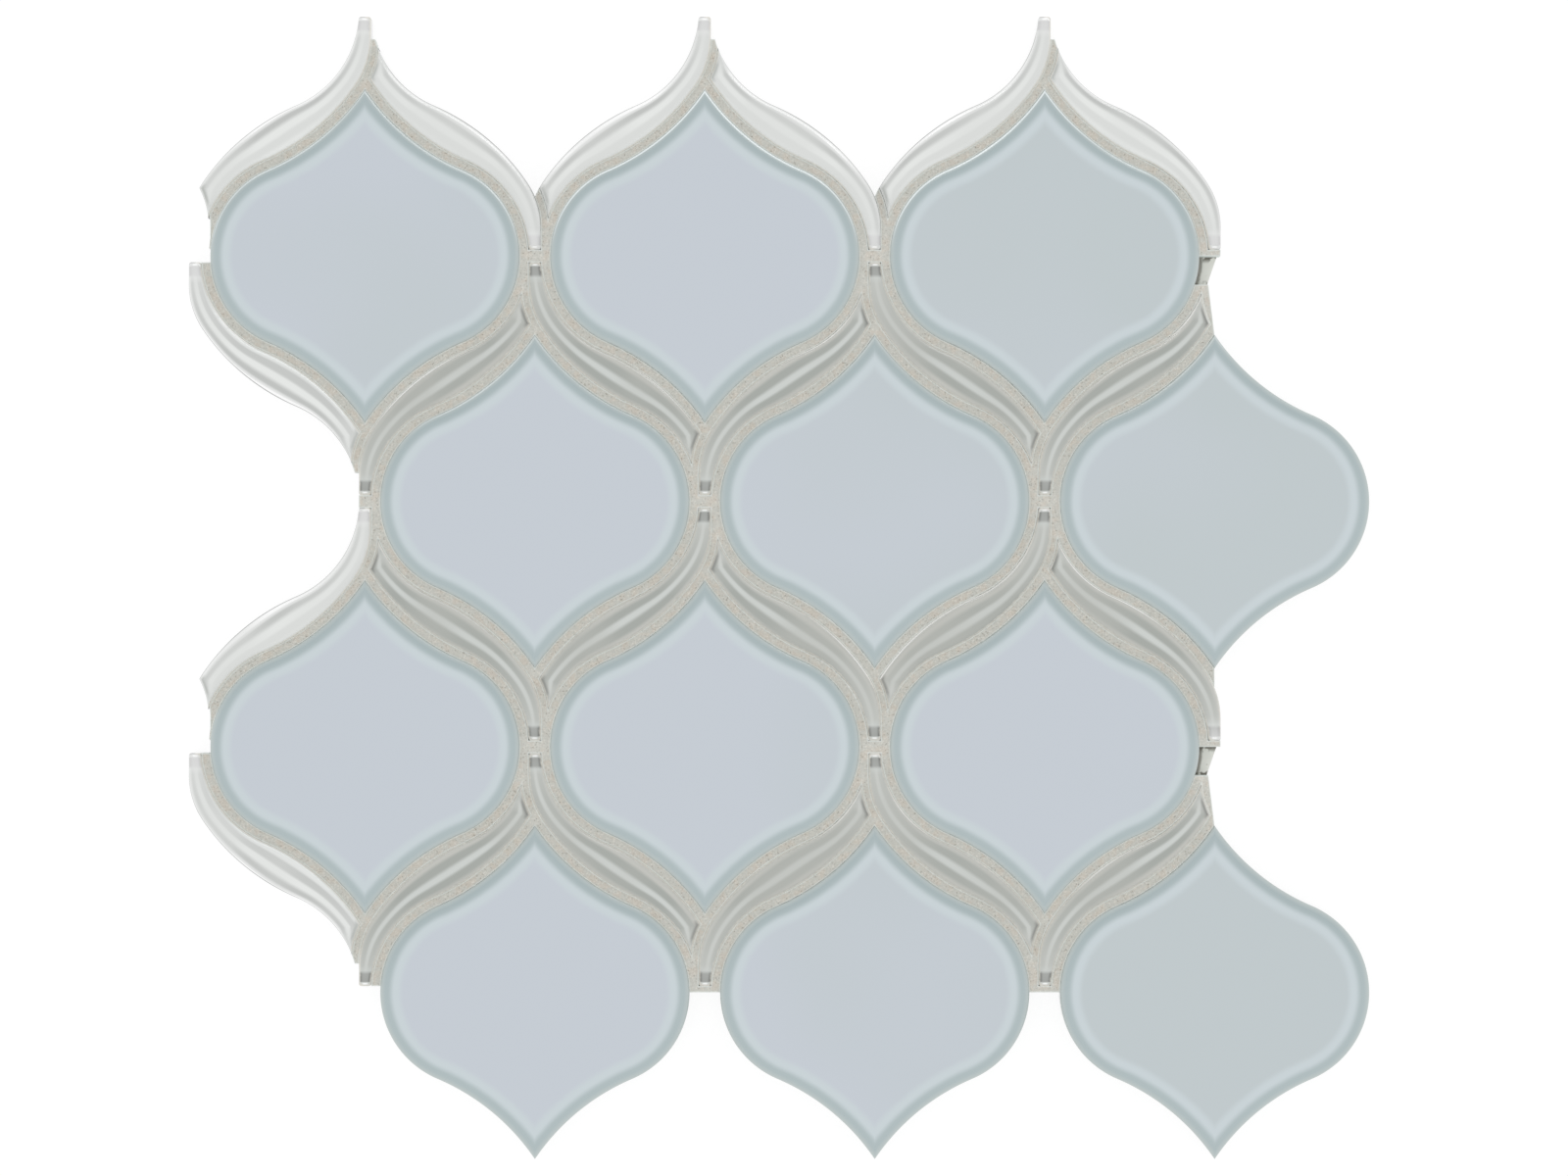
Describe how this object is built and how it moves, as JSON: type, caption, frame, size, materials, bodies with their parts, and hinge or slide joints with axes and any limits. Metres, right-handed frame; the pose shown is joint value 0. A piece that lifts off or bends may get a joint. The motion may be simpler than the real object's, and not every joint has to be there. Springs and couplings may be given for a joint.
{
  "type": "glass mosaic tile sheet",
  "caption": "Arabesque mosaic sheet of pale blue glass lantern tiles framed by S-shaped clear glass strips, grouted on a backing mesh.",
  "frame": {"origin": "middle of the sheet's outline box, on the back face", "axes": "+Z out of the glass face, +Y up the sheet as it is hung, +X right along a row"},
  "size_m": [0.2813, 0.2722, 0.0085],
  "materials": {
    "tile_glass": "glossy back-painted glass with softened edges",
    "trim_glass": "glossy clear glass over a white back",
    "grout": "sanded cement grout, matt",
    "backing_mesh": "open glass-fibre mesh"
  },
  "bodies": {
    "root": {"backing_mesh": "backing_mesh", "grout": "grout", "lantern_tiles_row_1": "tile_glass", "lantern_tiles_row_2": "tile_glass", "lantern_tiles_row_3": "tile_glass", "lantern_tiles_row_4": "tile_glass", "trim_strips_row_1": "trim_glass", "trim_strips_row_3": "trim_glass"}
  },
  "joints": []
}
